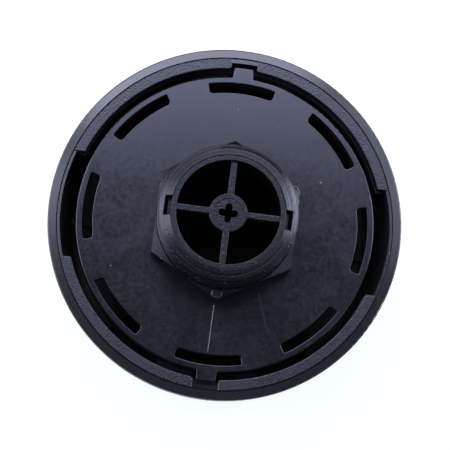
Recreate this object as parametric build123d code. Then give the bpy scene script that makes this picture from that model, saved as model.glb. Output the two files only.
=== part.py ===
from build123d import *
from math import atan2, cos, pi, radians, sin, tan
import os

os.makedirs("parts", exist_ok=True)

# Filler breather in black moulded plastic, lying on the flat top of its cover with the
# threaded spigot pointing up. Millimetres. The origin is the centre of the cover's top,
# Z is the spigot's axis, the latch tabs are on Y and the entry gaps of the ring on X.

# Cover: an open cup with a beaded rim, whose end face slopes outwards
COVER_HEIGHT = 46.0
COVER_WALL = 2.6
COVER_TOP_WALL = 2.8
COVER_DRAFT = 2.9
COVER_TOP_FILLET = 6.0
COVER_INNER_FILLET = 3.5
RIM_R = 54.1
RIM_BEAD = 0.8
RIM_BAND_WIDTH = 2.8
RIM_BAND_HEIGHT = 5.0
RIM_SLOPE_DEG = 12.0
RIM_FILLET = 0.45
SEAM_CHAMFER = 0.2
PRESSER_R = 24.0
PRESSER_WALL = 1.8
PRESSER_HEIGHT = 3.0
COVER_RIB_COUNT = 8
COVER_RIB_WALL = 1.6
COVER_RIB_HEIGHT = 2.2

# Retaining ring: pressed and welded into the cover's mouth. Its foot flange holds the
# base's lugs, and its ledge has the notches that the latch tabs click into.
RING_FIT = 0.1
RING_WALL = 1.4
RING_DEPTH = 9.0
FLANGE_THICKNESS = 2.0
LEDGE_WIDTH = 3.3
LEDGE_THICKNESS = 2.2
LEDGE_PROUD = 0.4
LEDGE_FILLET = 0.35
NOTCH_HALF_WIDTH = 3.95
NOTCH_CORNER_R = 0.8
ENTRY_GAP_HALF_LENGTH = 16.2
ENTRY_GAP_STEP = 0.55
ENTRY_GAP_CORNER_R = 0.4

# Base: disc, slots, tabs, lugs, hexagon and spigot in one moulding
AIR_GAP = 2.4
DISC_THICKNESS = 2.8
DISC_FILLET = 0.4
SLOT_COUNT = 8
SLOT_WIDTH = 3.05
SLOT_HALF_ANGLE_DEG = 13.7
SLOT_OUTER_CORNER_R = 0.35
SLOT_INNER_CORNER_R = 1.1
SLOT_EDGE_R = 0.25
SLOT_WALL_STEP = 0.35
BASE_WALL = 1.6
TAB_HALF_WIDTH = 3.25
TAB_TAPER = 0.35
TAB_OVERLAP = 0.55
TAB_EDGE_R = 0.25
TAB_THICKNESS = 1.8
LUG_REACH_GAP = 0.4
LUG_THICKNESS = 2.6
LUG_TAB_GAP = 1.0
LUG_END_GAP = 0.8
GUSSET_LENGTH = 5.0
GUSSET_DEPTH = 6.0
GUSSET_WALL = 1.6
HEX_SHOULDER = 0.3
HEX_HEIGHT = 8.3
HEX_CHAMFER_DEG = 30.0
HEX_CORNER_FILLET = 0.4

# Spigot with a G 1 1/4 pipe thread, whose ridges are finer than this model
THREAD_MAJOR_R = 20.955
THREAD_PITCH = 2.309
THREAD_DEPTH_PER_PITCH = 0.6403
UNDERCUT_WIDTH = 1.0
UNDERCUT_STEP = 0.2
SPIGOT_HEIGHT = 23.7
SPIGOT_WALL = 2.4
SPIGOT_END_FACE = 0.25
SPIGOT_LEAD_IN_DEG = 45.0
SEAT_TUBE_WALL = 2.2
SEAT_TUBE_DEPTH = 6.0

# Dipstick holder: a snapped-in sleeve with four spokes and a keyed boss
SLEEVE_FIT = 0.05
SLEEVE_WALL = 1.5
SLEEVE_LENGTH = 14.0
SLEEVE_FILLET = 0.2
SPOKE_COUNT = 4
SPOKE_WIDTH = 2.0
SPOKE_RECESS = 1.4
SPOKE_DEPTH = 5.0
SPOKE_EDGE_R = 0.3
BOSS_R = 5.75
BOSS_LENGTH = 11.0
BOSS_RECESS_R = 4.4
BOSS_RECESS_DEPTH = 0.5
KEY_SPAN = 5.8
KEY_WIDTH = 2.0
POCKET_WIDTH = 6.0
POCKET_WALL = 0.3
POCKET_FLOOR_STEP = 0.9
POCKET_DEPTH = 4.0
BARB_REACH = 0.8
BARB_HEIGHT = 3.0
BARB_DROP = 6.2
BARB_SIDE_GAP = 0.4
BARB_END_GAP = 0.3

# Filter element with its seal and pad
CORE_FIT = 0.3
CORE_WALL = 1.2
CORE_WINDOW_COLUMNS = 10
CORE_WINDOW_ROWS = 4
CORE_RIB = 2.4
ELEMENT_GUSSET_GAP = 2.4
PLEAT_COUNT = 48
PLEAT_FIT = 0.3
PLEAT_PAPER = 0.5
END_PLATE = 1.0
END_FIT = 0.2
END_RIM_WALL = 0.8
END_RIM_HEIGHT = 3.5
SEAL_THICKNESS = 2.5
SEAL_STEP = 3.0
SEAL_WIDTH = 5.0
PAD_THICKNESS = 1.8
PAD_OVERHANG = 2.6

# Radii that follow from the sizes above
COVER_BORE_R = RIM_R - RIM_BAND_WIDTH
COVER_SKIRT_R = RIM_R - RIM_BEAD
COVER_TOP_R = COVER_SKIRT_R - COVER_DRAFT
RING_OUTER_R = COVER_BORE_R - RING_FIT
RING_INNER_R = RING_OUTER_R - RING_WALL
LEDGE_INNER_R = RING_OUTER_R - LEDGE_WIDTH
DISC_R = LEDGE_INNER_R - AIR_GAP
SLOT_OUTER_R = DISC_R - BASE_WALL - SLOT_WALL_STEP
SLOT_INNER_R = SLOT_OUTER_R - SLOT_WIDTH
HEX_FLAT_R = THREAD_MAJOR_R + HEX_SHOULDER
THREAD_MINOR_R = THREAD_MAJOR_R - THREAD_DEPTH_PER_PITCH * THREAD_PITCH
UNDERCUT_R = THREAD_MINOR_R - UNDERCUT_STEP
SOCKET_R = THREAD_MINOR_R - SPIGOT_WALL
SLEEVE_R = SOCKET_R - SLEEVE_FIT
PORT_R = SLEEVE_R - SLEEVE_WALL
SEAT_TUBE_R = PORT_R + SEAT_TUBE_WALL
CORE_INNER_R = SEAT_TUBE_R + CORE_FIT
CORE_OUTER_R = CORE_INNER_R + CORE_WALL
END_RIM_R = DISC_R - BASE_WALL - GUSSET_LENGTH - ELEMENT_GUSSET_GAP
PLEAT_INNER_R = CORE_OUTER_R + PLEAT_FIT
PLEAT_OUTER_R = END_RIM_R - END_RIM_WALL - END_FIT
PLEAT_DEPTH = PLEAT_OUTER_R - PLEAT_INNER_R

# Heights that follow from the sizes above
RIM_Z = COVER_HEIGHT
RIM_SLOPE = tan(radians(RIM_SLOPE_DEG))
RING_FOOT_Z = RIM_Z - RING_DEPTH
DISC_BOTTOM_Z = RIM_Z - DISC_THICKNESS
LEDGE_TOP_Z = RIM_Z + LEDGE_PROUD
LEDGE_BOTTOM_Z = LEDGE_TOP_Z - LEDGE_THICKNESS
HEX_TOP_Z = RIM_Z + HEX_HEIGHT
SPIGOT_TOP_Z = RIM_Z + SPIGOT_HEIGHT
SLEEVE_BOTTOM_Z = SPIGOT_TOP_Z - SLEEVE_LENGTH
PRESSER_Z = COVER_TOP_WALL + PRESSER_HEIGHT
CLOSED_CAP_Z = PRESSER_Z + PAD_THICKNESS
OPEN_CAP_Z = DISC_BOTTOM_Z - SEAL_THICKNESS
PLEAT_LOW_Z = CLOSED_CAP_Z + END_PLATE
PLEAT_HIGH_Z = OPEN_CAP_Z - END_PLATE
OVERCUT = 1.0


def at_height(edges, z):
    return edges.filter_by_position(Axis.Z, z, z)


def outline(points, corners=()):
    """A closed outline through the points, with a fillet at each (point, radius) corner."""
    face = make_face(Polyline(*points, close=True))
    for point, radius in corners:
        face = fillet(face.vertices().sort_by_distance(Vector(*point))[0], radius)
    return face


def turned(points, corners=()):
    """A solid of revolution about Z from (radius, height) points."""
    return revolve(Plane.XZ * outline(points, corners), Axis.Z)


def tube(inner_r, outer_r, low, high):
    return turned([(inner_r, low), (outer_r, low), (outer_r, high), (inner_r, high)])


def block(x_range, y_range, z_range):
    """A box between two values on each axis."""
    low = Vector(x_range[0], y_range[0], z_range[0])
    size = Vector(x_range[1], y_range[1], z_range[1]) - low
    return Pos(*low) * Box(size.X, size.Y, size.Z, align=(Align.MIN, Align.MIN, Align.MIN))


def upright(face, low, high):
    """A plan outline raised from one height to another."""
    return Pos(0, 0, low) * extrude(face, high - low)


def around(shape, count, start_deg=0.0):
    return [Rot(0, 0, start_deg + 360.0 * k / count) * shape for k in range(count)]


def radial_web(points, wall):
    """A flat web standing on the XZ plane, from (radius, height) points."""
    return extrude(Plane.XZ * outline(points), wall / 2, both=True)


def cover():
    band_z = RIM_Z - RIM_BAND_HEIGHT
    draft = COVER_DRAFT / band_z
    inner_top_r = COVER_TOP_R - COVER_WALL + draft * COVER_TOP_WALL
    inner_foot_r = COVER_TOP_R - COVER_WALL + draft * RING_FOOT_Z
    rim_edge = (RIM_R, RIM_Z - RIM_SLOPE * RIM_BAND_WIDTH)
    band_foot = (RIM_R, band_z + RIM_BEAD)
    shell = turned(
        [
            (0, 0),
            (COVER_TOP_R, 0),
            (COVER_SKIRT_R, band_z),
            band_foot,
            rim_edge,
            (COVER_BORE_R + SEAM_CHAMFER, RIM_Z - RIM_SLOPE * SEAM_CHAMFER),
            (COVER_BORE_R, RIM_Z - SEAM_CHAMFER),
            (COVER_BORE_R, RING_FOOT_Z),
            (inner_foot_r, RING_FOOT_Z),
            (inner_top_r, COVER_TOP_WALL),
            (0, COVER_TOP_WALL),
        ],
        [
            ((COVER_TOP_R, 0), COVER_TOP_FILLET),
            (rim_edge, RIM_FILLET),
            (band_foot, RIM_FILLET),
            ((inner_top_r, COVER_TOP_WALL), COVER_INNER_FILLET),
        ],
    )
    presser = tube(PRESSER_R, PRESSER_R + PRESSER_WALL, COVER_TOP_WALL / 2, PRESSER_Z)
    rib = block(
        (PRESSER_R + PRESSER_WALL / 2, COVER_TOP_R - COVER_WALL / 2),
        (-COVER_RIB_WALL / 2, COVER_RIB_WALL / 2),
        (COVER_TOP_WALL / 2, COVER_TOP_WALL + COVER_RIB_HEIGHT),
    )
    inside = turned([(0, 0), (COVER_TOP_R, 0), (COVER_SKIRT_R, band_z), (0, band_z)],
                    [((COVER_TOP_R, 0), COVER_TOP_FILLET)])
    ribs = [piece & inside for piece in around(rib, COVER_RIB_COUNT)]
    return shell + presser + ribs


def ledge_segments():
    """The ledge in plan: a band cut by the two notches and the two entry gaps."""
    reach = RING_OUTER_R + OVERCUT
    band = Circle(RING_OUTER_R - SEAM_CHAMFER) - Circle(LEDGE_INNER_R)
    notches = Rectangle(2 * NOTCH_HALF_WIDTH, 2 * reach)
    gaps = Rectangle(2 * reach, 2 * ENTRY_GAP_HALF_LENGTH)
    segments = []
    for face in (band - notches - gaps).faces():
        plan = Sketch() + face
        inner = plan.vertices().filter_by(lambda v: Vector(v.X, v.Y).length < RING_INNER_R)
        by_notch = inner.sort_by(lambda v: abs(v.X))
        plan = fillet(by_notch[0], NOTCH_CORNER_R)
        inner = plan.vertices().filter_by(lambda v: Vector(v.X, v.Y).length < RING_INNER_R)
        plan = fillet(inner.sort_by(lambda v: abs(v.X))[-1], ENTRY_GAP_CORNER_R)
        segments.append(plan)
    return segments


def retaining_ring():
    strip_r = RING_OUTER_R - SEAM_CHAMFER
    strip_z = RIM_Z + RIM_SLOPE * (strip_r - RING_INNER_R)
    wall = turned([
        (LEDGE_INNER_R, RING_FOOT_Z),
        (RING_OUTER_R, RING_FOOT_Z),
        (RING_OUTER_R, RIM_Z - SEAM_CHAMFER),
        (strip_r, RIM_Z),
        (RING_INNER_R, strip_z),
        (RING_INNER_R, RING_FOOT_Z + FLANGE_THICKNESS),
        (LEDGE_INNER_R, RING_FOOT_Z + FLANGE_THICKNESS),
    ])
    entry = Circle(RING_INNER_R + ENTRY_GAP_STEP) & Rectangle(2 * RING_OUTER_R, 2 * ENTRY_GAP_HALF_LENGTH)
    ring = wall - upright(entry, RING_FOOT_Z - OVERCUT, LEDGE_TOP_Z)
    for plan in ledge_segments():
        piece = upright(plan, LEDGE_BOTTOM_Z, LEDGE_TOP_Z)
        top_edges = at_height(piece.edges(), LEDGE_TOP_Z)
        rounded = top_edges.filter_by(
            lambda e: not (e.geom_type == GeomType.CIRCLE and e.radius > RING_INNER_R))
        ring += fillet(rounded, LEDGE_FILLET)
    return ring


def air_slot():
    """One slot in plan, centred on the X axis."""
    start, sweep = -SLOT_HALF_ANGLE_DEG, 2 * SLOT_HALF_ANGLE_DEG
    outer = CenterArc((0, 0), SLOT_OUTER_R, start, sweep)
    inner = CenterArc((0, 0), SLOT_INNER_R, start, sweep)
    face = make_face([outer, inner, Line(inner @ 0, outer @ 0), Line(inner @ 1, outer @ 1)])
    by_radius = face.vertices().sort_by_distance(Vector(0, 0, 0))
    face = fillet(by_radius[2:], SLOT_OUTER_CORNER_R)
    return fillet(face.vertices().sort_by_distance(Vector(0, 0, 0))[:2], SLOT_INNER_CORNER_R)


def latch_tab():
    """One tab in plan, reaching along Y past the ledge's inner edge."""
    root_y = DISC_R - BASE_WALL
    tip_y = LEDGE_INNER_R + TAB_OVERLAP
    tip_x = TAB_HALF_WIDTH - TAB_TAPER
    return outline(
        [(-TAB_HALF_WIDTH, root_y), (TAB_HALF_WIDTH, root_y), (tip_x, tip_y), (-tip_x, tip_y)],
        [((tip_x, tip_y), DISC_FILLET), ((-tip_x, tip_y), DISC_FILLET)],
    )


def lug_pair():
    """Two lugs in plan, one each side of the tab on Y, narrow enough for the entry gap."""
    lug_r = RING_INNER_R - LUG_REACH_GAP
    near_x = TAB_HALF_WIDTH + LUG_TAB_GAP
    far_x = ENTRY_GAP_HALF_LENGTH - LUG_END_GAP
    band = Circle(lug_r) - Circle(DISC_R - BASE_WALL / 2)
    window = Pos((near_x + far_x) / 2, lug_r / 2) * Rectangle(far_x - near_x, lug_r)
    return band & (window + mirror(window, Plane.YZ))


def hexagon():
    """The spanner hexagon, with corners on Y and its end chamfered as turned."""
    plan = RegularPolygon(HEX_FLAT_R, 6, major_radius=False, rotation=30)
    plan = fillet(plan.vertices(), HEX_CORNER_FILLET)
    corner_r = HEX_FLAT_R / cos(pi / 6)
    drop = (corner_r - HEX_FLAT_R) * tan(radians(HEX_CHAMFER_DEG))
    envelope = turned([(0, DISC_BOTTOM_Z), (corner_r, DISC_BOTTOM_Z), (corner_r, HEX_TOP_Z - drop),
                       (HEX_FLAT_R, HEX_TOP_Z), (0, HEX_TOP_Z)])
    return upright(plan, RIM_Z - DISC_THICKNESS / 2, HEX_TOP_Z) & envelope


def base():
    wall_foot_z = RING_FOOT_Z - LUG_THICKNESS
    seat_foot_z = DISC_BOTTOM_Z - SEAT_TUBE_DEPTH
    end_r = SOCKET_R + SPIGOT_END_FACE
    lead_in_z = SPIGOT_TOP_Z - (THREAD_MAJOR_R - end_r) * tan(radians(SPIGOT_LEAD_IN_DEG))
    body = turned(
        [
            (PORT_R, seat_foot_z),
            (SEAT_TUBE_R, seat_foot_z),
            (SEAT_TUBE_R, DISC_BOTTOM_Z),
            (DISC_R - BASE_WALL, DISC_BOTTOM_Z),
            (DISC_R - BASE_WALL, wall_foot_z),
            (DISC_R, wall_foot_z),
            (DISC_R, RIM_Z),
            (UNDERCUT_R, RIM_Z),
            (UNDERCUT_R, HEX_TOP_Z + UNDERCUT_WIDTH),
            (THREAD_MAJOR_R, HEX_TOP_Z + UNDERCUT_WIDTH),
            (THREAD_MAJOR_R, lead_in_z),
            (end_r, SPIGOT_TOP_Z),
            (SOCKET_R, SPIGOT_TOP_Z),
            (SOCKET_R, SLEEVE_BOTTOM_Z),
            (PORT_R, SLEEVE_BOTTOM_Z),
        ],
        [((DISC_R, RIM_Z), DISC_FILLET)],
    )
    shape = body + (hexagon() - tube(0, PORT_R, seat_foot_z, SLEEVE_BOTTOM_Z))

    tab = upright(latch_tab(), RIM_Z - TAB_THICKNESS, RIM_Z)
    tab = fillet(at_height(tab.edges(), RIM_Z).filter_by(lambda e: e.center().Y > DISC_R), TAB_EDGE_R)
    lugs = upright(lug_pair(), wall_foot_z, RING_FOOT_Z)
    shape += around(tab, 2) + around(lugs, 2)

    slot = upright(air_slot(), DISC_BOTTOM_Z - OVERCUT, RIM_Z + OVERCUT)
    shape -= around(slot, SLOT_COUNT)
    middle_r = (SLOT_INNER_R + SLOT_OUTER_R) / 2
    rims = at_height(shape.edges(), RIM_Z).filter_by(
        lambda e: abs(Vector(e.center().X, e.center().Y).length - middle_r) < SLOT_WIDTH
        and e.length < SLOT_OUTER_R)
    shape = fillet(rims, SLOT_EDGE_R)

    wall_r = DISC_R - BASE_WALL
    gusset = radial_web(
        [
            (wall_r - GUSSET_LENGTH, DISC_BOTTOM_Z + DISC_THICKNESS / 2),
            (wall_r + BASE_WALL / 2, DISC_BOTTOM_Z + DISC_THICKNESS / 2),
            (wall_r + BASE_WALL / 2, DISC_BOTTOM_Z - GUSSET_DEPTH),
            (wall_r, DISC_BOTTOM_Z - GUSSET_DEPTH),
            (wall_r - GUSSET_LENGTH, DISC_BOTTOM_Z),
        ],
        GUSSET_WALL,
    )
    shape += around(gusset, SLOT_COUNT, 180.0 / SLOT_COUNT)
    return shape - around(snap_pocket(), 2) - around(barb_window(), 2)


def snap_pocket():
    """The open pocket in the lead-in on +X, with a sloped outer wall."""
    outer_r = THREAD_MINOR_R - POCKET_WALL
    floor_r = SOCKET_R + POCKET_FLOOR_STEP
    floor_z = SPIGOT_TOP_Z - POCKET_DEPTH
    knee_z = floor_z + POCKET_DEPTH / 2
    return radial_web(
        [
            (PORT_R, SPIGOT_TOP_Z + OVERCUT),
            (outer_r, SPIGOT_TOP_Z + OVERCUT),
            (outer_r, knee_z),
            (floor_r, floor_z),
            (PORT_R, floor_z),
        ],
        POCKET_WIDTH,
    )


def barb_window():
    """The recess under the pocket that the sleeve's barb clicks into, on +X."""
    top_z = SPIGOT_TOP_Z - BARB_DROP
    return block(
        (PORT_R, SOCKET_R + BARB_REACH + BARB_END_GAP),
        (-POCKET_WIDTH / 2, POCKET_WIDTH / 2),
        (top_z - BARB_HEIGHT - BARB_END_GAP, top_z),
    )


def dipstick_holder():
    spoke_z = SPIGOT_TOP_Z - SPOKE_RECESS
    lip_outer, lip_inner = (SLEEVE_R, SPIGOT_TOP_Z), (PORT_R, SPIGOT_TOP_Z)
    sleeve = turned(
        [(PORT_R, SLEEVE_BOTTOM_Z), (SLEEVE_R, SLEEVE_BOTTOM_Z), lip_outer, lip_inner],
        [(lip_outer, SLEEVE_FILLET), (lip_inner, SLEEVE_FILLET)],
    )
    spoke = block(
        (BOSS_RECESS_R, PORT_R + SLEEVE_WALL / 2),
        (-SPOKE_WIDTH / 2, SPOKE_WIDTH / 2),
        (spoke_z - SPOKE_DEPTH, spoke_z),
    )
    spoke = fillet(at_height(spoke.edges(), spoke_z).filter_by(Axis.X), SPOKE_EDGE_R)
    boss = turned(
        [(0, spoke_z - BOSS_LENGTH), (BOSS_R, spoke_z - BOSS_LENGTH), (BOSS_R, spoke_z), (0, spoke_z)],
        [((BOSS_R, spoke_z), SPOKE_EDGE_R)],
    )
    recess = tube(0, BOSS_RECESS_R, spoke_z - BOSS_RECESS_DEPTH, spoke_z + OVERCUT)
    arm = upright(SlotOverall(KEY_SPAN, KEY_WIDTH), spoke_z - BOSS_LENGTH - OVERCUT, spoke_z + OVERCUT)
    barb_top_z = SPIGOT_TOP_Z - BARB_DROP
    barb = radial_web(
        [
            (PORT_R + SLEEVE_WALL / 2, barb_top_z),
            (SOCKET_R + BARB_REACH, barb_top_z),
            (SLEEVE_R, barb_top_z - BARB_HEIGHT),
            (PORT_R + SLEEVE_WALL / 2, barb_top_z - BARB_HEIGHT),
        ],
        POCKET_WIDTH - 2 * BARB_SIDE_GAP,
    )
    frame = sleeve + around(spoke, SPOKE_COUNT) + boss + around(barb, 2)
    return frame - recess - arm - Rot(0, 0, 90) * arm


def core_tube():
    """The moulded support inside the pleats, with rows of windows."""
    height = PLEAT_HIGH_Z - PLEAT_LOW_Z
    window_height = (height - (CORE_WINDOW_ROWS + 1) * CORE_RIB) / CORE_WINDOW_ROWS
    half_width = CORE_OUTER_R * sin(pi / CORE_WINDOW_COLUMNS) - CORE_RIB / 2
    shape = tube(CORE_INNER_R, CORE_OUTER_R, PLEAT_LOW_Z, PLEAT_HIGH_Z)
    for row in range(CORE_WINDOW_ROWS):
        low = PLEAT_LOW_Z + CORE_RIB + row * (window_height + CORE_RIB)
        window = block(
            (CORE_INNER_R * cos(pi / CORE_WINDOW_COLUMNS) - OVERCUT, CORE_OUTER_R + OVERCUT),
            (-half_width, half_width),
            (low, low + window_height),
        )
        shape -= around(window, CORE_WINDOW_COLUMNS)
    return shape


def pleated_media():
    """Filter paper folded into a closed ring of pleats."""
    half_pitch = pi / PLEAT_COUNT
    mean_r = (PLEAT_INNER_R + PLEAT_OUTER_R) / 2
    lean = atan2(mean_r * half_pitch, PLEAT_DEPTH)
    paper = PLEAT_PAPER / sin(lean)
    folds = [(k * half_pitch, k % 2) for k in range(2 * PLEAT_COUNT)]

    def zigzag(tip_r, root_r):
        radii = [(angle, root_r if inward else tip_r) for angle, inward in folds]
        return make_face(Polyline(*[(r * cos(a), r * sin(a)) for a, r in radii], close=True))

    ring = zigzag(PLEAT_OUTER_R, PLEAT_INNER_R + paper) - zigzag(PLEAT_OUTER_R - paper, PLEAT_INNER_R)
    return upright(ring, PLEAT_LOW_Z, PLEAT_HIGH_Z)


def end_cap(hole_r, face_z, inward):
    """A pressed end cap: a plate with an outer rim that wraps the pleats; inward is 1 or -1."""
    plate_z = face_z + inward * END_PLATE
    rim_z = face_z + inward * END_RIM_HEIGHT
    return turned([
        (hole_r, face_z),
        (END_RIM_R, face_z),
        (END_RIM_R, rim_z),
        (END_RIM_R - END_RIM_WALL, rim_z),
        (END_RIM_R - END_RIM_WALL, plate_z),
        (hole_r, plate_z),
    ])


def element_seal():
    inner_r = CORE_INNER_R + SEAL_STEP
    return tube(inner_r, inner_r + SEAL_WIDTH, OPEN_CAP_Z, DISC_BOTTOM_Z)


def element_pad():
    return tube(PRESSER_R - PAD_OVERHANG, PRESSER_R + PRESSER_WALL + PAD_OVERHANG, PRESSER_Z, CLOSED_CAP_Z)


PIECES = {
    "cover": cover(),
    "retaining_ring": retaining_ring(),
    "base": base(),
    "dipstick_holder": dipstick_holder(),
    "core_tube": core_tube(),
    "pleated_media": pleated_media(),
    "open_end_cap": end_cap(CORE_INNER_R, OPEN_CAP_Z, -1),
    "closed_end_cap": end_cap(0, CLOSED_CAP_Z, 1),
    "element_seal": element_seal(),
    "element_pad": element_pad(),
}

for name, shape in PIECES.items():
    export_step(shape, f"parts/{name}.step")
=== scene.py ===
from math import cos, pi, radians, sin, tan

import bmesh
import bpy
from mathutils import Matrix, Vector


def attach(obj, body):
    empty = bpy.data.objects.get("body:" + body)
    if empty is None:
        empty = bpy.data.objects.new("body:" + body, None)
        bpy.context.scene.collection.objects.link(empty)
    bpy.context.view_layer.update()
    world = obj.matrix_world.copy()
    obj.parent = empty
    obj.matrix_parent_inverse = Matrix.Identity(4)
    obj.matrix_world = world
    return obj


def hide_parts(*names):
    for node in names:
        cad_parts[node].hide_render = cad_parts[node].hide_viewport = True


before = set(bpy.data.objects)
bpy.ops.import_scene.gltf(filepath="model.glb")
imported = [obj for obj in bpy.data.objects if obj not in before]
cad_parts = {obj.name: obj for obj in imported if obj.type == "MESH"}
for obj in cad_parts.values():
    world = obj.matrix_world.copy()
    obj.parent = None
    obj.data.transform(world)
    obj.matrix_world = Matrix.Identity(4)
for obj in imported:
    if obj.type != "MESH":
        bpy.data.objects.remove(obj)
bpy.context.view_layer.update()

# Black plastic filler breather, lying on its cover with the threaded spigot up. Blender's
# unit is the metre, so sizes are written in millimetres and multiplied by MM.
MM = 0.001

# Sizes of the moulded pieces, as in the part's source
RIM_Z = 46.0 * MM
RIM_R = 54.1 * MM
THREAD_MAJOR_R = 20.955 * MM
THREAD_MINOR_R = 19.477 * MM
THREAD_PITCH = 2.309 * MM
THREAD_HALF_ANGLE = radians(27.5)
THREAD_FOOT_Z = 55.3 * MM
THREAD_END_Z = 68.4 * MM

# The thread's groove: how far the crests' edges are broken and the root is rounded, how far the
# cutting section stands out past the crests and flares there, how many turns below the thread
# its helix starts, and how far below the thread it is cut off level
CREST_BREAK = 0.14 * MM
ROOT_ROUNDING = 0.15 * MM
SECTION_PAST_CREST = 0.06 * MM
SECTION_FLARE = 0.19 * MM
TURNS_BELOW_FOOT = 0.95
GROOVE_BELOW_FOOT = 0.5 * MM
GROOVE_START_Z = THREAD_FOOT_Z - TURNS_BELOW_FOOT * THREAD_PITCH
STEPS_PER_TURN = 90

# The gate's stub on the hexagon's corner, in millimetres: its block and roundings, and the lip
# round its sunk middle
STUB_CENTRE = (-0.15, -22.75, 53.5)
STUB_SIZE = (3.3, 2.4, 2.6)
STUB_CORNER_R = 0.95
STUB_EDGE_R = 0.2
STUB_LIP = 0.25
STUB_SLOPE = 0.15
STUB_SINK = 0.12

# What broke off unevenly there: each ridge's centre, its size and its turn in degrees
STUB_RIDGES = [
    ((0.95, -22.5, 54.6), (0.4, 1.7, 0.8), -32),
    ((-1.25, -22.6, 54.65), (0.35, 1.5, 0.6), 8),
]
RIDGE_CORNER_R = 0.12
RIDGE_EDGE_R = 0.1

# Raised lines on the disc: (x, y) points, width and height in millimetres, and how deep their
# feet stand in the disc
FLASH_LINES = [
    ([(-0.3, -25.2), (-0.45, -39.8)], 0.20, 0.055),
    ([(0.45, 25.6), (-0.2, 35.0), (-0.15, 39.6)], 0.26, 0.045),
]
SCRATCH_BURRS = [
    ([(12.7, -20.2), (17.1, -32.3)], 0.14, 0.015),
    ([(11.9, -20.2), (14.4, -25.0)], 0.14, 0.015),
]
LINE_SUNK = 0.3

# Where the base's finishes change, and with them its painted shade and light: above SPIGOT_FINISH_Z
# a face is the hexagon's or the spigot's, and within the three limits of the stub it is the stub's
SPIGOT_FINISH_Z = RIM_Z + 0.2 * MM
STUB_FINISH_Z = 54.35 * MM
STUB_FINISH_X = 1.9 * MM
STUB_FINISH_Y = -21.4 * MM

# Vertices nearer than MERGE become one. Edges sharper than SHARP_DEG stay sharp, and faces
# whose normal is as upright as LEVEL stay flat.
MERGE = 0.001 * MM
SHARP_DEG = 30
LEVEL = 0.9999

# The photograph's view: how far the spigot's axis leans to the right and up in the picture,
# as parts of its length, the turn of the object about it, and where the rim's centre lies
LEAN_RIGHT = 0.0441
LEAN_UP = 0.1370
TURN = -0.1262
PICTURE_PX = 450
FOCAL_PX = 2374.0
RIM_R_PX = 177.41
RIM_CENTRE_RIGHT_PX = 0.0456
RIM_CENTRE_UP_PX = 1.9366
SENSOR_MM = 36.0

# The studio: its dim fill, the white that the camera sees and the white table
FILL = 0.055
TABLE_HALF = 3.0
TABLE_DROP = 0.05 * MM
TABLE_GREY = (0.3, 0.3, 0.3, 1)
TABLE_GLOW = (0.83, 0.88, 1, 1)
TABLE_GLOW_STRENGTH = 0.97
WHITE = (1, 1, 1, 1)

# Noise runs between these, and two noises added run between their doubles
NOISE_LOW, NOISE_HIGH = 0.3, 0.7

# Moulded plastic: nearly black, a little blue, with a tone that swings by a quarter. Inside and
# outside the cover it is dull below DULL_Z, and from SHINE_Z up it has each surface's own gloss.
PLASTIC = (0.0075, 0.0079, 0.0110)
PLASTIC_SHEEN = (0.62, 0.67, 1.0, 1)
RIM_SHEEN = (0.72, 0.76, 1.0, 1)
TONE_SWING = 0.25
DULL_Z = 43.6 * MM
SHINE_Z = 44.6 * MM
DULL_ROUGHNESS = 0.65

# Dust: its colour, the share of a speck's radius that is solid, the noise levels between which
# lint shows, and the specks as x, y and radius in millimetres
DUST = (0.25, 0.26, 0.28)
SPECK_CORE = 0.7
LINT_LOW, LINT_HIGH = 0.725, 0.77
DISC_DUST = [
    (-0.2, 35.2, 0.13),
    (-0.2, 35.5, 0.13),
    (27.47, 16.22, 0.28),
    (-32.92, -17.39, 0.22),
    (12.4, 31.5, 0.12),
    (-21.6, 28.3, 0.1),
]
RIM_DUST = [
    (-33.5, -39.8, 0.16),
    (-43.2, -30.9, 0.12),
    (-51.9, 6.1, 0.14),
    (18.5, -49.4, 0.15),
]

# The element's finishes
PAPER = (0.72, 0.62, 0.40)
RUBBER = (0.018, 0.018, 0.018)


def picture_axes():
    """Columns: the picture's right, its up and the way back to the camera, in the part's frame."""
    leaning = Vector((LEAN_RIGHT, LEAN_UP, (1.0 - LEAN_RIGHT ** 2 - LEAN_UP ** 2) ** 0.5))
    lean = Vector((0, 0, 1)).rotation_difference(leaning).to_matrix()
    return (lean @ Matrix.Rotation(TURN, 3, "Z")).transposed()


AXES = picture_axes()
RIGHT, UP, BACK = (AXES.col[k].copy() for k in range(3))


def make_camera():
    """The camera that took the photograph, as the perspective fit of its circles gave it."""
    pixel = RIM_R / RIM_R_PX
    camera = bpy.data.objects.new("camera", bpy.data.cameras.new("camera"))
    bpy.context.scene.collection.objects.link(camera)
    aim = Vector((0, 0, RIM_Z))
    eye = aim + pixel * (FOCAL_PX * BACK - RIM_CENTRE_RIGHT_PX * RIGHT - RIM_CENTRE_UP_PX * UP)
    camera.matrix_world = Matrix.Translation(eye) @ AXES.to_4x4()
    camera.data.sensor_width = SENSOR_MM
    camera.data.lens = SENSOR_MM * FOCAL_PX / PICTURE_PX
    camera.data.clip_start = 0.05
    camera.data.clip_end = 20.0
    bpy.context.scene.camera = camera


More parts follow.
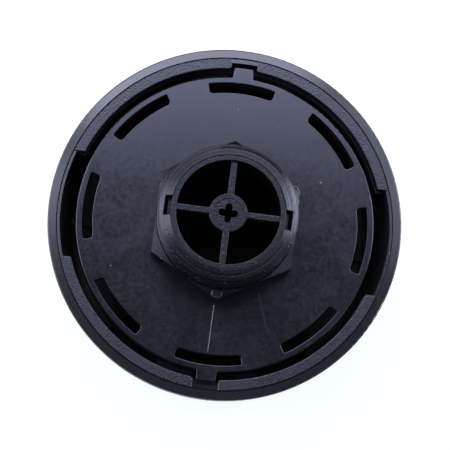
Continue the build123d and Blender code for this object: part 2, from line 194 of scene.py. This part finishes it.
def softbox(name, from_view_deg, clock_deg, width, height, watts):
    """A soft lamp a metre away, aimed at the rim. from_view_deg is its angle from the line of
    sight, clock_deg the side it stands on, counted anticlockwise from the picture's right, and
    its width and height are in metres."""
    lamp = bpy.data.lights.new(name, "AREA")
    lamp.shape = "RECTANGLE"
    lamp.size = width
    lamp.size_y = height
    lamp.energy = watts
    away, clock = radians(from_view_deg), radians(clock_deg)
    toward = BACK * cos(away) + (RIGHT * cos(clock) + UP * sin(clock)) * sin(away)
    across = BACK.cross(toward).normalized()
    along = toward.cross(across)
    turned = Matrix((across, along, toward)).transposed().to_4x4()
    holder = bpy.data.objects.new(name, lamp)
    bpy.context.scene.collection.objects.link(holder)
    holder.matrix_world = Matrix.Translation(Vector((0, 0, RIM_Z)) + toward) @ turned


def make_lights():
    """Each lamp's angle from the line of sight, its clock angle, its size and its watts."""
    softbox("near_top_softbox", 30, 90, 0.70, 0.36, 2.3)
    softbox("top_softbox", 43, 88, 0.66, 0.40, 3.4)
    softbox("upper_left_softbox", 41, 160, 0.56, 0.36, 2.2)
    softbox("upper_right_softbox", 45, 34, 0.56, 0.36, 1.0)
    softbox("left_softbox", 58, 188, 0.36, 0.36, 1.2)
    softbox("upper_left_low_softbox", 58, 135, 0.36, 0.36, 1.6)
    softbox("low_left_softbox", 82, 168, 0.80, 0.36, 5.6)
    softbox("low_right_softbox", 84, 12, 0.76, 0.36, 8.6)
    softbox("lower_right_softbox", 56, 335, 0.36, 0.36, 0.7)
    softbox("front_softbox", 36, 272, 1.10, 0.20, 0.4)


def new_tree(owner, output):
    """Clears a material's or world's nodes and gives its tree and output node."""
    owner.use_nodes = True
    owner.node_tree.nodes.clear()
    return owner.node_tree, owner.node_tree.nodes.new(output)


def node(tree, kind, inputs=(), **settings):
    """Adds one node. inputs are (socket, value or output socket) pairs."""
    made = tree.nodes.new(kind)
    for key, value in settings.items():
        setattr(made, key, value)
    for socket, value in inputs:
        if isinstance(value, bpy.types.NodeSocket):
            tree.links.new(value, made.inputs[socket])
        else:
            made.inputs[socket].default_value = value
    return made


def worked_out(tree, operation, first, second):
    """The result of an operation on two values."""
    return node(tree, "ShaderNodeMath", [(0, first), (1, second)], operation=operation).outputs[0]


def scaled(tree, value, low, high, at_low, at_high):
    """Maps a value between low and high to one between at_low and at_high."""
    limits = [("From Min", low), ("From Max", high), ("To Min", at_low), ("To Max", at_high)]
    return node(tree, "ShaderNodeMapRange", [("Value", value)] + limits).outputs[0]


def noise(tree, where, scale, detail, roughness=0.5, distortion=0.0):
    """Noise, mostly between NOISE_LOW and NOISE_HIGH, with scale waves to the metre."""
    sockets = [("Vector", where), ("Scale", scale), ("Detail", detail), ("Roughness", roughness),
               ("Distortion", distortion)]
    return node(tree, "ShaderNodeTexNoise", sockets).outputs[0]


def toned(tree, colour, tone):
    """A colour made lighter or darker by a factor."""
    sockets = [(0, colour), ("Scale", tone)]
    return node(tree, "ShaderNodeVectorMath", sockets, operation="SCALE").outputs[0]


def blended(tree, share, first, second):
    """A colour between first and second. Inputs 4 and 5 and output 1 are the vector ones."""
    sockets = [(0, share), (4, first), (5, second)]
    return node(tree, "ShaderNodeMix", sockets, data_type="VECTOR").outputs[1]


def any_ray(tree, kinds):
    """1 for light that is seen by one of these kinds of ray, 0 for all other light."""
    path = node(tree, "ShaderNodeLightPath")
    seen = 0.0
    for kind in kinds:
        seen = worked_out(tree, "MAXIMUM", seen, path.outputs[kind])
    return seen


def make_world():
    """A dim studio that the camera sees as white, like the table."""
    world = bpy.data.worlds.new("studio")
    bpy.context.scene.world = world
    tree, output = new_tree(world, "ShaderNodeOutputWorld")
    seen = any_ray(tree, ["Is Camera Ray", "Is Transmission Ray"])
    fill = node(tree, "ShaderNodeBackground", [("Color", WHITE), ("Strength", FILL)])
    white = node(tree, "ShaderNodeBackground", [("Color", WHITE), ("Strength", 1.0)])
    mix = node(tree, "ShaderNodeMixShader", [(0, seen), (1, fill.outputs[0]), (2, white.outputs[0])])
    tree.links.new(mix.outputs[0], output.inputs["Surface"])


def make_floor():
    """A white table, a hair below the cover. Its glow for the camera and for reflections leaves
    only a trace of shadow."""
    shape = bmesh.new()
    place = Matrix.Translation((0, 0, -TABLE_DROP))
    bmesh.ops.create_grid(shape, x_segments=1, y_segments=1, size=TABLE_HALF, matrix=place)
    mesh = bpy.data.meshes.new("table_top")
    shape.to_mesh(mesh)
    shape.free()
    floor = bpy.data.objects.new("table_top", mesh)
    bpy.context.scene.collection.objects.link(floor)
    material = bpy.data.materials.new("white_table")
    tree, output = new_tree(material, "ShaderNodeOutputMaterial")
    seen = any_ray(tree, ["Is Camera Ray", "Is Glossy Ray", "Is Transmission Ray"])
    strength = worked_out(tree, "MULTIPLY", seen, TABLE_GLOW_STRENGTH)
    board = node(tree, "ShaderNodeBsdfDiffuse", [("Color", TABLE_GREY)])
    glow = node(tree, "ShaderNodeEmission", [("Color", TABLE_GLOW), ("Strength", strength)])
    both = node(tree, "ShaderNodeAddShader", [(0, board.outputs[0]), (1, glow.outputs[0])])
    tree.links.new(both.outputs[0], output.inputs["Surface"])
    mesh.materials.append(material)


def specks(tree, where, places):
    """1 inside each speck of dust on a face at the rim's height, 0 outside."""
    inside = 0.0
    for x, y, radius in places:
        ends = [(0, where), (1, (x * MM, y * MM, RIM_Z))]
        away = node(tree, "ShaderNodeVectorMath", ends, operation="DISTANCE").outputs["Value"]
        spot = scaled(tree, away, SPECK_CORE * radius * MM, radius * MM, 1.0, 0.0)
        inside = worked_out(tree, "MAXIMUM", inside, spot)
    return inside


def lint_strewn(tree, where):
    """1 on tiny bits of lint, 0 between them."""
    fluff = noise(tree, where, scale=2600.0, detail=1.0)
    return scaled(tree, fluff, LINT_LOW, LINT_HIGH, 0.0, 1.0)


def clouded(tree, where, thin, dense):
    """A value that clouds about a centimetre wide and a fine mottle vary from thin to dense."""
    cloud = noise(tree, where, scale=70.0, detail=5.0, roughness=0.62, distortion=0.8)
    mottle = noise(tree, where, scale=900.0, detail=2.0)
    both = worked_out(tree, "ADD", cloud, mottle)
    return scaled(tree, both, 2 * NOISE_LOW, 2 * NOISE_HIGH, thin, dense)


def dull_below_rim(tree, where):
    """The least roughness: DULL_ROUGHNESS below DULL_Z, none from SHINE_Z up."""
    place = node(tree, "ShaderNodeSeparateXYZ", [("Vector", where)])
    return scaled(tree, place.outputs["Z"], DULL_Z, SHINE_Z, DULL_ROUGHNESS, 0.0)


def moulded_texture(tree, where, grain, grain_size, tool_lines):
    """The normal of a grained face and, where tool_lines is set, of the turned mould's rings."""
    pits = noise(tree, where, scale=1.0 / grain_size, detail=3.0, roughness=0.6)
    sockets = [("Height", pits), ("Strength", 1.0), ("Distance", grain)]
    bump = node(tree, "ShaderNodeBump", sockets)
    if tool_lines:
        turned = [("Vector", where), ("Scale", 260.0), ("Distortion", 1.2), ("Detail Scale", 0.3)]
        rings = node(tree, "ShaderNodeTexWave", turned, wave_type="RINGS", rings_direction="Z")
        sockets = [("Height", rings.outputs["Fac"]), ("Strength", 1.0), ("Distance", tool_lines),
                   ("Normal", bump.outputs[0])]
        bump = node(tree, "ShaderNodeBump", sockets)
    return bump.outputs[0]


def black_plastic(name, ior, lightness, roughness, clouding, grain, grain_size, tool_lines=0.0,
                  dust=(), lint=False, sheen=PLASTIC_SHEEN):
    """lightness scales the plastic's colour; the spigot's 0.6 is painted shade and the gate's stub's
    3.5 is painted light. clouding is how far its roughness varies; grain and grain_size are the
    texture's height and pitch; tool_lines is the height of the turned mould's rings; dust lists
    specks, and lint strews tiny ones."""
    material = bpy.data.materials.new(name)
    tree, output = new_tree(material, "ShaderNodeOutputMaterial")
    where = node(tree, "ShaderNodeTexCoord").outputs["Object"]
    satin_roughness = clouded(tree, where, roughness - clouding, roughness + clouding)
    all_roughness = worked_out(tree, "MAXIMUM", satin_roughness, dull_below_rim(tree, where))
    tone = clouded(tree, where, (1 - TONE_SWING) * lightness, (1 + TONE_SWING) * lightness)
    paint = toned(tree, PLASTIC, tone)
    if dust:
        paint = blended(tree, specks(tree, where, dust), paint, DUST)
    if lint:
        paint = blended(tree, lint_strewn(tree, where), paint, DUST)
    shader = node(tree, "ShaderNodeBsdfPrincipled", [
        ("Base Color", paint),
        ("Roughness", all_roughness),
        ("IOR", ior),
        ("Specular Tint", sheen),
        ("Normal", moulded_texture(tree, where, grain, grain_size, tool_lines)),
    ])
    tree.links.new(shader.outputs[0], output.inputs["Surface"])
    return material


def matt_material(name, colour, scale, detail, darkest, lightest, roughness):
    """A matt material. Noise of this scale and detail scales its colour from darkest to lightest."""
    material = bpy.data.materials.new(name)
    tree, output = new_tree(material, "ShaderNodeOutputMaterial")
    where = node(tree, "ShaderNodeTexCoord").outputs["Object"]
    unevenness = noise(tree, where, scale, detail)
    tone = scaled(tree, unevenness, NOISE_LOW, NOISE_HIGH, darkest, lightest)
    sockets = [("Base Color", toned(tree, colour, tone)), ("Roughness", roughness)]
    shader = node(tree, "ShaderNodeBsdfPrincipled", sockets)
    tree.links.new(shader.outputs[0], output.inputs["Surface"])
    return material


def filter_paper(name):
    """Resin-soaked filter paper: cream, with a fibrous tone."""
    return matt_material(name, PAPER, scale=1800.0, detail=4.0, darkest=0.9, lightest=1.08,
                         roughness=0.85)


def gasket_rubber(name):
    """Matt black rubber, a little cloudy."""
    return matt_material(name, RUBBER, scale=400.0, detail=3.0, darkest=0.8, lightest=1.3,
                         roughness=0.6)


def paint_node(name, material):
    """Gives a CAD node, whose shape is right, its finish."""
    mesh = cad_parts[name].data
    mesh.materials.clear()
    mesh.materials.append(material)


def new_piece(name, shape, materials):
    """A finished shape becomes a named piece of the plastic body."""
    mesh = bpy.data.meshes.new(name)
    shape.to_mesh(mesh)
    shape.free()
    for material in materials:
        mesh.materials.append(material)
    piece = bpy.data.objects.new(name, mesh)
    bpy.context.scene.collection.objects.link(piece)
    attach(piece, "root")
    return piece


def shade_smoothly(piece):
    """Curved faces shade smoothly between sharp edges, and level faces stay flat."""
    mesh = piece.data
    if mesh.has_custom_normals:
        mesh.attributes.remove(mesh.attributes["custom_normal"])
    for face in mesh.polygons:
        face.use_smooth = True
    mesh.set_sharp_from_angle(angle=radians(SHARP_DEG))
    for face in mesh.polygons:
        face.use_smooth = abs(face.normal.z) < LEVEL


def round_off(shape, geom, radius, segments, affect="EDGES"):
    """Rounds edges or vertices; radius in metres."""
    bmesh.ops.bevel(shape, geom=geom, offset=radius, segments=segments, profile=0.5,
                    affect=affect, material=-1)


def face_outward(shape):
    """Turns all faces of a closed shape outward."""
    bmesh.ops.recalc_face_normals(shape, faces=shape.faces[:])


def groove_section(shape):
    """One open loop, standing in the XZ plane at the groove's start. Its sides flare at the
    crest, which leaves the ridges' edges broken."""
    mean_r = (THREAD_MAJOR_R + THREAD_MINOR_R) / 2
    slope = tan(THREAD_HALF_ANGLE)
    flare_r = THREAD_MAJOR_R - CREST_BREAK
    root_half = THREAD_PITCH / 4 - (mean_r - THREAD_MINOR_R) * slope
    flare_half = THREAD_PITCH / 4 + (flare_r - mean_r) * slope
    outer_r, outer_half = THREAD_MAJOR_R + SECTION_PAST_CREST, flare_half + SECTION_FLARE
    corners = [(THREAD_MINOR_R, -root_half), (flare_r, -flare_half), (outer_r, -outer_half),
               (outer_r, outer_half), (flare_r, flare_half), (THREAD_MINOR_R, root_half)]
    verts = [shape.verts.new((r, 0, GROOVE_START_Z + z)) for r, z in corners]
    shape.faces.new(verts)
    roots = [vert for vert in verts if vert.co.x < mean_r]
    round_off(shape, roots, ROOT_ROUNDING, segments=3, affect="VERTICES")
    bmesh.ops.delete(shape, geom=shape.faces[:], context="FACES_ONLY")


def thread_groove():
    """The pipe thread's groove: one closed helix that starts in the undercut and runs out past
    the lead-in."""
    shape = bmesh.new()
    groove_section(shape)
    steps = round((THREAD_END_Z - GROOVE_START_Z) / THREAD_PITCH * STEPS_PER_TURN)
    rise = (0, 0, THREAD_PITCH / STEPS_PER_TURN)
    bmesh.ops.spin(shape, geom=shape.verts[:] + shape.edges[:], cent=(0, 0, 0), axis=(0, 0, 1),
                   dvec=rise, angle=2 * pi * steps / STEPS_PER_TURN, steps=steps, use_merge=False)
    everything = shape.verts[:] + shape.edges[:] + shape.faces[:]
    bmesh.ops.bisect_plane(shape, geom=everything, dist=MERGE / 10, clear_inner=True,
                           plane_co=(0, 0, THREAD_FOOT_Z - GROOVE_BELOW_FOOT), plane_no=(0, 0, 1))
    open_edges = [edge for edge in shape.edges if edge.is_boundary]
    bmesh.ops.holes_fill(shape, edges=open_edges, sides=0)
    face_outward(shape)
    return shape


def combined(shape, tool, operation):
    """The Boolean of two closed shapes, as a new bmesh."""
    pair = []
    for name, part in (("combined_body", shape), ("combined_tool", tool)):
        mesh = bpy.data.meshes.new(name)
        part.to_mesh(mesh)
        part.free()
        holder = bpy.data.objects.new(name, mesh)
        bpy.context.scene.collection.objects.link(holder)
        pair.append(holder)
    step = pair[0].modifiers.new("combined", "BOOLEAN")
    step.operation = operation
    step.solver = "EXACT"
    step.object = pair[1]
    bpy.context.view_layer.update()
    made = bmesh.new()
    made.from_object(pair[0], bpy.context.evaluated_depsgraph_get())
    for holder in pair:
        bpy.data.objects.remove(holder)
    return made


def flash_line(shape, points, width, height):
    """A thin raised line on the disc, through (x, y) points; all lengths in millimetres. Its
    sides slope in until its top is a quarter as wide as its foot."""
    x, y = points[0]
    disc_z = RIM_Z / MM
    low_z, top_z = disc_z - LINE_SUNK, disc_z + height
    foot = [(x - width / 2, y, low_z), (x + width / 2, y, low_z), (x + width / 2, y, disc_z),
            (x + width / 8, y, top_z), (x - width / 8, y, top_z), (x - width / 2, y, disc_z)]
    section = shape.faces.new([shape.verts.new(Vector(corner) * MM) for corner in foot])
    for start, end in zip(points, points[1:]):
        grown = bmesh.ops.extrude_face_region(shape, geom=[section])["geom"]
        section = next(item for item in grown if isinstance(item, bmesh.types.BMFace))
        step = Vector((end[0] - start[0], end[1] - start[1], 0)) * MM
        bmesh.ops.translate(shape, verts=section.verts[:], vec=step)


def rounded_block(shape, centre, size, turn_deg, corner_r):
    """A block whose upright edges are rounded; all lengths in millimetres. Gives its top."""
    turn = Matrix.Rotation(radians(turn_deg), 4, "Z")
    stretch = Matrix.Diagonal((*(Vector(size) * MM), 1))
    place = Matrix.Translation(Vector(centre) * MM) @ turn @ stretch
    made = bmesh.ops.create_cube(shape, size=1.0, matrix=place)["verts"]
    upright = [edge for edge in {edge for vert in made for edge in vert.link_edges}
               if abs(edge.verts[0].co.z - edge.verts[1].co.z) > 0.5 * size[2] * MM]
    round_off(shape, upright, corner_r * MM, segments=5)
    top = (Vector(centre) + Vector((0, 0, size[2] / 2))) * MM
    return min(shape.faces, key=lambda face: (face.calc_center_median() - top).length)


def gate_stub():
    """What the mould's gate leaves on the hexagon's corner nearest the camera: a stub with a
    sunk middle and two broken-off ridges."""
    shape = bmesh.new()
    top = rounded_block(shape, STUB_CENTRE, STUB_SIZE, 0, STUB_CORNER_R)
    round_off(shape, top.edges[:], STUB_EDGE_R * MM, segments=3)
    top = max(shape.faces, key=lambda face: face.calc_center_median().z)
    bmesh.ops.inset_region(shape, faces=[top], thickness=STUB_LIP * MM, use_even_offset=True)
    bmesh.ops.inset_region(shape, faces=[top], thickness=STUB_SLOPE * MM, depth=-STUB_SINK * MM,
                           use_even_offset=True)
    face_outward(shape)
    for centre, size, turn_deg in STUB_RIDGES:
        ridge = bmesh.new()
        top = rounded_block(ridge, centre, size, turn_deg, RIDGE_CORNER_R)
        round_off(ridge, top.edges[:], RIDGE_EDGE_R * MM, segments=2)
        face_outward(ridge)
        shape = combined(shape, ridge, "UNION")
    return shape


def disc_flash():
    """Thin lines of flash on the disc, below and above the hexagon, and faint scratches' burrs."""
    shape = bmesh.new()
    for points, width, height in FLASH_LINES + SCRATCH_BURRS:
        flash_line(shape, points, width, height)
    face_outward(shape)
    return shape


def finish_index(face):
    """Which of the base's materials a face has: 0 disc, 1 hexagon and spigot, darkened as painted
    shade, 2 gate's stub, lightened as painted light.
    """
    x, y, z = face.calc_center_median()
    if abs(x) < STUB_FINISH_X and y < STUB_FINISH_Y and z > STUB_FINISH_Z:
        return 2
    return 1 if z > SPIGOT_FINISH_Z else 0


def make_base(disc_finish, spigot_finish_and_painted_shade, stub_finish_and_painted_light):
    """The base again, in one mesh with the thread's groove, the gate's stub and the flash."""
    shape = bmesh.new()
    shape.from_mesh(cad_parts["base"].data)
    bmesh.ops.remove_doubles(shape, verts=shape.verts, dist=MERGE)
    shape = combined(shape, thread_groove(), "DIFFERENCE")
    shape = combined(shape, gate_stub(), "UNION")
    shape = combined(shape, disc_flash(), "UNION")
    bmesh.ops.remove_doubles(shape, verts=shape.verts, dist=MERGE)
    for face in shape.faces:
        face.material_index = finish_index(face)
    base = new_piece("slotted_base", shape, [disc_finish, spigot_finish_and_painted_shade, stub_finish_and_painted_light])
    shade_smoothly(base)
    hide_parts("base")


make_camera()
make_world()
make_floor()
make_lights()

satin = black_plastic("satin_plastic", ior=1.80, lightness=1.0, roughness=0.195, clouding=0.06,
                      grain=0.006 * MM, grain_size=0.6 * MM, dust=DISC_DUST)
# The hexagon and spigot: the same plastic as the disc, darkened to 0.6 as painted shade on the
# lead-in.
spigot = black_plastic("spigot_plastic_painted_shade", ior=1.48, lightness=0.6, roughness=0.22, clouding=0.03,
                       grain=0.10 * MM, grain_size=0.62 * MM, tool_lines=0.018 * MM, lint=True)
# The gate's stub: the same plastic as the disc, lightened 3.5 times as painted light, so that it
# looks lit.
broken = black_plastic("gate_stub_plastic_painted_light", ior=1.7, lightness=3.5, roughness=0.22,
                       clouding=0.03, grain=0.03 * MM, grain_size=0.4 * MM)
grained = black_plastic("grained_plastic", ior=1.78, lightness=1.0, roughness=0.28,
                        clouding=0.05, grain=0.10 * MM, grain_size=0.5 * MM)
holder = black_plastic("holder_plastic", ior=1.54, lightness=1.0, roughness=0.22, clouding=0.04,
                       grain=0.09 * MM, grain_size=0.62 * MM, lint=True)
rim_gloss = black_plastic("rim_plastic", ior=1.78, lightness=2.0, roughness=0.20, clouding=0.02,
                          grain=0.006 * MM, grain_size=0.8 * MM, dust=RIM_DUST, sheen=RIM_SHEEN)
inner_plastic = black_plastic("element_plastic", ior=1.4, lightness=1.0, roughness=0.55,
                              clouding=0.03, grain=0.01 * MM, grain_size=0.5 * MM)
paper = filter_paper("pleated_paper")
rubber = gasket_rubber("gasket_rubber")

paint_node("cover", rim_gloss)
paint_node("retaining_ring", grained)
paint_node("dipstick_holder", holder)
for hidden in ("core_tube", "open_end_cap", "closed_end_cap"):
    paint_node(hidden, inner_plastic)
paint_node("pleated_media", paper)
for soft in ("element_seal", "element_pad"):
    paint_node(soft, rubber)
make_base(satin, spigot, broken)

bpy.context.scene.view_settings.view_transform = "Standard"
